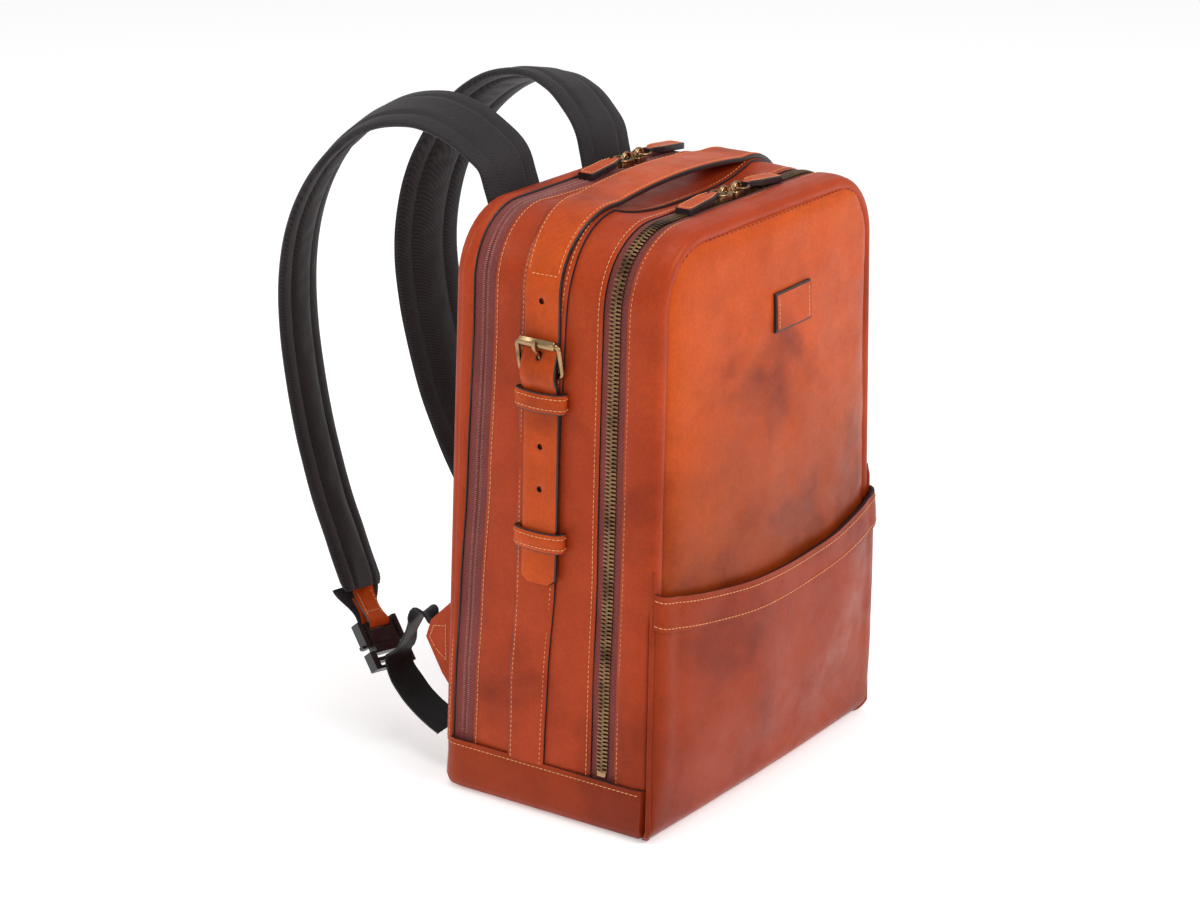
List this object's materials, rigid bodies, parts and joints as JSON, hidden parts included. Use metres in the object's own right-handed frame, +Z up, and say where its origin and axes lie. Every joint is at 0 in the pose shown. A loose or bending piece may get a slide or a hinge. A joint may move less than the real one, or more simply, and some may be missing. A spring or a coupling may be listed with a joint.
{
  "type": "leather backpack",
  "caption": "Upright leather backpack with arched zips, a slip pocket, a top strap handle buckled down the sides and padded shoulder straps.",
  "frame": {"origin": "the middle of the flat base, on the surface the bag stands on", "axes": "+Z up, -Y towards the front panel and its pocket, +Y towards the shoulder straps, X across the bag"},
  "size_m": [0.302, 0.3729, 0.4736],
  "materials": {
    "cognac_leather": "semi-gloss, burnished",
    "dark_leather": "semi-gloss, dark edges",
    "lining_cloth": "matt",
    "zip_tape": "matt",
    "antique_brass": "antiqued, satin",
    "black_nylon": "matt twill",
    "black_metal": "satin black",
    "base_board": "matt"
  },
  "bodies": {
    "bag": {"base_band": "cognac_leather", "base_board": "base_board", "front_foot": "cognac_leather", "middle_gusset": "cognac_leather", "center_strap": "cognac_leather", "divider_panel": "lining_cloth", "front_zip_tape_rear": "zip_tape", "front_zip_teeth_rear": "antique_brass", "rear_zip_tape_front": "zip_tape", "left_billet": "cognac_leather", "right_billet": "cognac_leather", "left_upper_keeper": "cognac_leather", "left_lower_keeper": "cognac_leather", "right_upper_keeper": "cognac_leather", "right_lower_keeper": "cognac_leather"},
    "front_flap": {"front_panel": "cognac_leather", "front_gusset": "cognac_leather", "front_lining": "lining_cloth", "front_pocket": "cognac_leather", "pocket_band": "cognac_leather", "name_patch": "cognac_leather", "front_zip_tape_front": "zip_tape", "front_zip_teeth_front": "antique_brass"},
    "back_flap": {"back_panel": "cognac_leather", "back_gusset": "cognac_leather", "back_lining": "lining_cloth", "laptop_sleeve": "lining_cloth", "strap_yoke": "cognac_leather", "rear_zip_tape_rear": "zip_tape", "left_pad_root": "black_nylon", "right_pad_root": "black_nylon", "left_anchor_wing": "cognac_leather", "right_anchor_wing": "cognac_leather"},
    "handle": {"handle": "cognac_leather"},
    "front_slider_left": {"front_slider_left": "antique_brass"},
    "front_pull_left": {"front_pull_left": "dark_leather"},
    "front_slider_right": {"front_slider_right": "antique_brass"},
    "front_pull_right": {"front_pull_right": "dark_leather"},
    "rear_slider_left": {"rear_slider_left": "antique_brass"},
    "rear_pull_left": {"rear_pull_left": "dark_leather"},
    "rear_slider_right": {"rear_slider_right": "antique_brass"},
    "rear_pull_right": {"rear_pull_right": "dark_leather"},
    "left_buckle": {"left_buckle_frame": "antique_brass"},
    "left_prong": {"left_buckle_prong": "antique_brass"},
    "left_strap": {"left_shoulder_pad": "black_nylon", "left_strap_tab": "cognac_leather", "left_buckle_socket": "black_metal", "left_strap_adjuster": "black_metal", "left_strap_webbing": "black_nylon"},
    "left_inner_lever": {"left_inner_lever": "black_metal"},
    "left_outer_lever": {"left_outer_lever": "black_metal"},
    "right_buckle": {"right_buckle_frame": "antique_brass"},
    "right_prong": {"right_buckle_prong": "antique_brass"},
    "right_strap": {"right_shoulder_pad": "black_nylon", "right_strap_tab": "cognac_leather", "right_buckle_socket": "black_metal", "right_strap_adjuster": "black_metal", "right_strap_webbing": "black_nylon"},
    "right_inner_lever": {"right_inner_lever": "black_metal"},
    "right_outer_lever": {"right_outer_lever": "black_metal"}
  },
  "joints": [
    {"name": "front_flap_fold", "type": "hinge", "parent": "bag", "child": "front_flap", "pos_m": [0, -0.09, 0.038], "axis": [1, 0, 0], "range_deg": [0, 75]},
    {"name": "back_flap_fold", "type": "hinge", "parent": "bag", "child": "back_flap", "pos_m": [0, 0.088, 0.038], "axis": [-1, 0, 0], "range_deg": [0, 34]},
    {"name": "handle_lift", "type": "slide", "parent": "bag", "child": "handle", "axis": [0, 0, 1], "range_m": [0, 0.014]},
    {"name": "front_slider_left_slide", "type": "slide", "parent": "bag", "child": "front_slider_left", "axis": [-1, 0, 0], "range_m": [0, 0.066]},
    {"name": "front_pull_left_hinge", "type": "hinge", "parent": "front_slider_left", "child": "front_pull_left", "pos_m": [-0.0081, -0.05492, 0.427], "axis": [0, 1, 0], "range_deg": [0, 90]},
    {"name": "front_slider_right_slide", "type": "slide", "parent": "bag", "child": "front_slider_right", "axis": [1, 0, 0], "range_m": [0, 0.07]},
    {"name": "front_pull_right_hinge", "type": "hinge", "parent": "front_slider_right", "child": "front_pull_right", "pos_m": [0.0041, -0.05492, 0.427], "axis": [0, -1, 0], "range_deg": [0, 90]},
    {"name": "rear_slider_left_slide", "type": "slide", "parent": "bag", "child": "rear_slider_left", "axis": [-1, 0, 0], "range_m": [0, 0.108]},
    {"name": "rear_pull_left_hinge", "type": "hinge", "parent": "rear_slider_left", "child": "rear_pull_left", "pos_m": [0.0349, 0.05528, 0.427], "axis": [0, 1, 0], "range_deg": [0, 90]},
    {"name": "rear_slider_right_slide", "type": "slide", "parent": "bag", "child": "rear_slider_right", "axis": [1, 0, 0], "range_m": [0, 0.028]},
    {"name": "rear_pull_right_hinge", "type": "hinge", "parent": "rear_slider_right", "child": "rear_pull_right", "pos_m": [0.0471, 0.05528, 0.427], "axis": [0, -1, 0], "range_deg": [0, 90]},
    {"name": "left_buckle_swing", "type": "hinge", "parent": "bag", "child": "left_buckle", "pos_m": [-0.14121, 0.003, 0.321], "axis": [0, -1, 0], "range_deg": [0, 45]},
    {"name": "left_prong_swing", "type": "hinge", "parent": "left_buckle", "child": "left_prong", "pos_m": [-0.14121, 0.003, 0.321], "axis": [0, -1, 0], "range_deg": [0, 40]},
    {"name": "left_strap_swing", "type": "hinge", "parent": "back_flap", "child": "left_strap", "pos_m": [-0.0572, 0.0908, 0.425], "axis": [0.2141, -0.0753, 0.9739], "range_deg": [-8, 20]},
    {"name": "left_outer_lever_press", "type": "slide", "parent": "left_strap", "child": "left_outer_lever", "axis": [0.984, -0.1618, -0.0752], "range_m": [0, 0.0013], "stiffness_N_per_m": 600, "springref_m": -0.002},
    {"name": "left_inner_lever_press", "type": "slide", "parent": "left_strap", "child": "left_inner_lever", "axis": [-0.984, 0.1618, 0.0752], "range_m": [0, 0.0013], "stiffness_N_per_m": 600, "springref_m": -0.002},
    {"name": "right_buckle_swing", "type": "hinge", "parent": "bag", "child": "right_buckle", "pos_m": [0.14121, 0.003, 0.321], "axis": [0, 1, 0], "range_deg": [0, 45]},
    {"name": "right_prong_swing", "type": "hinge", "parent": "right_buckle", "child": "right_prong", "pos_m": [0.14121, 0.003, 0.321], "axis": [0, 1, 0], "range_deg": [0, 40]},
    {"name": "right_strap_swing", "type": "hinge", "parent": "back_flap", "child": "right_strap", "pos_m": [0.0572, 0.0908, 0.425], "axis": [0.2141, 0.0753, -0.9739], "range_deg": [-8, 20]},
    {"name": "right_outer_lever_press", "type": "slide", "parent": "right_strap", "child": "right_outer_lever", "axis": [-0.984, -0.1618, -0.0752], "range_m": [0, 0.0013], "stiffness_N_per_m": 600, "springref_m": -0.002},
    {"name": "right_inner_lever_press", "type": "slide", "parent": "right_strap", "child": "right_inner_lever", "axis": [0.984, 0.1618, 0.0752], "range_m": [0, 0.0013], "stiffness_N_per_m": 600, "springref_m": -0.002}
  ]
}
